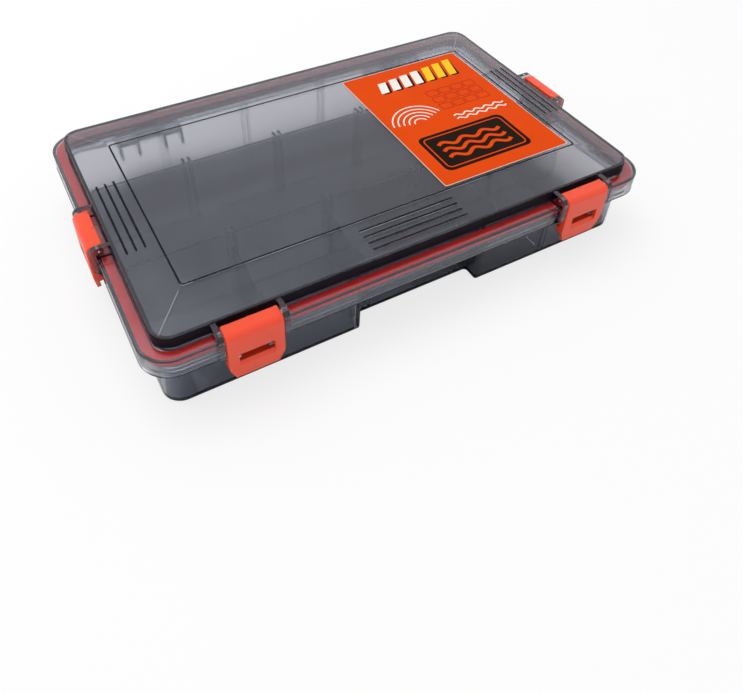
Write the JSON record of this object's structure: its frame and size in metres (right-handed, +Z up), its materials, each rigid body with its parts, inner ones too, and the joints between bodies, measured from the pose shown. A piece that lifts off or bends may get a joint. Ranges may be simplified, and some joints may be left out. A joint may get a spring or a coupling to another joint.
{
  "type": "fishing tackle case",
  "caption": "Flat translucent tackle case: compartment tray, domed lid hinged at the back with a silicone seal, and swing latches on front and sides.",
  "frame": {"origin": "middle of the tray's flat underside", "axes": "+X along the long front towards the right end, -Y towards the front latches, +Y towards the hinges, +Z up"},
  "size_m": [0.2824, 0.1848, 0.0466],
  "materials": {
    "tray_plastic": "smoke-tinted clear plastic, glossy",
    "divider_plastic": "smoke-tinted clear plastic, glossy",
    "lid_plastic": "smoke-tinted clear plastic, glossy",
    "latch_plastic": "satin orange plastic",
    "seal_silicone": "soft red-orange silicone",
    "printed_card": "glossy printed card",
    "pin_steel": "drawn steel wire"
  },
  "bodies": {
    "tray": {"base_tray": "tray_plastic", "divider_1": "divider_plastic", "divider_2": "divider_plastic", "divider_3": "divider_plastic", "divider_4": "divider_plastic", "divider_5": "divider_plastic", "divider_6": "divider_plastic", "hinge_pin_left": "pin_steel", "hinge_pin_right": "pin_steel"},
    "lid": {"lid_shell": "lid_plastic", "lid_gasket": "seal_silicone", "panel_card": "printed_card", "latch_pin_front_left": "pin_steel", "latch_pin_front_right": "pin_steel", "latch_pin_side_left": "pin_steel", "latch_pin_side_right": "pin_steel"},
    "front_left_latch": {"latch_front_left": "latch_plastic"},
    "front_right_latch": {"latch_front_right": "latch_plastic"},
    "side_left_latch": {"latch_side_left": "latch_plastic"},
    "side_right_latch": {"latch_side_right": "latch_plastic"}
  },
  "joints": [
    {"name": "lid_hinge", "type": "hinge", "parent": "tray", "child": "lid", "pos_m": [0, 0.0906, 0.0225], "axis": [-1, 0, 0], "range_deg": [0, 170]},
    {"name": "front_left_latch_pivot", "type": "hinge", "parent": "lid", "child": "front_left_latch", "pos_m": [-0.0915, -0.0855, 0.0413], "axis": [-1, 0, 0], "range_deg": [0, 90]},
    {"name": "front_right_latch_pivot", "type": "hinge", "parent": "lid", "child": "front_right_latch", "pos_m": [0.0915, -0.0855, 0.0413], "axis": [-1, 0, 0], "range_deg": [0, 90]},
    {"name": "side_left_latch_pivot", "type": "hinge", "parent": "lid", "child": "side_left_latch", "pos_m": [-0.13575, 0, 0.0413], "axis": [0, 1, 0], "range_deg": [0, 90]},
    {"name": "side_right_latch_pivot", "type": "hinge", "parent": "lid", "child": "side_right_latch", "pos_m": [0.13575, 0, 0.0413], "axis": [0, -1, 0], "range_deg": [0, 90]}
  ]
}
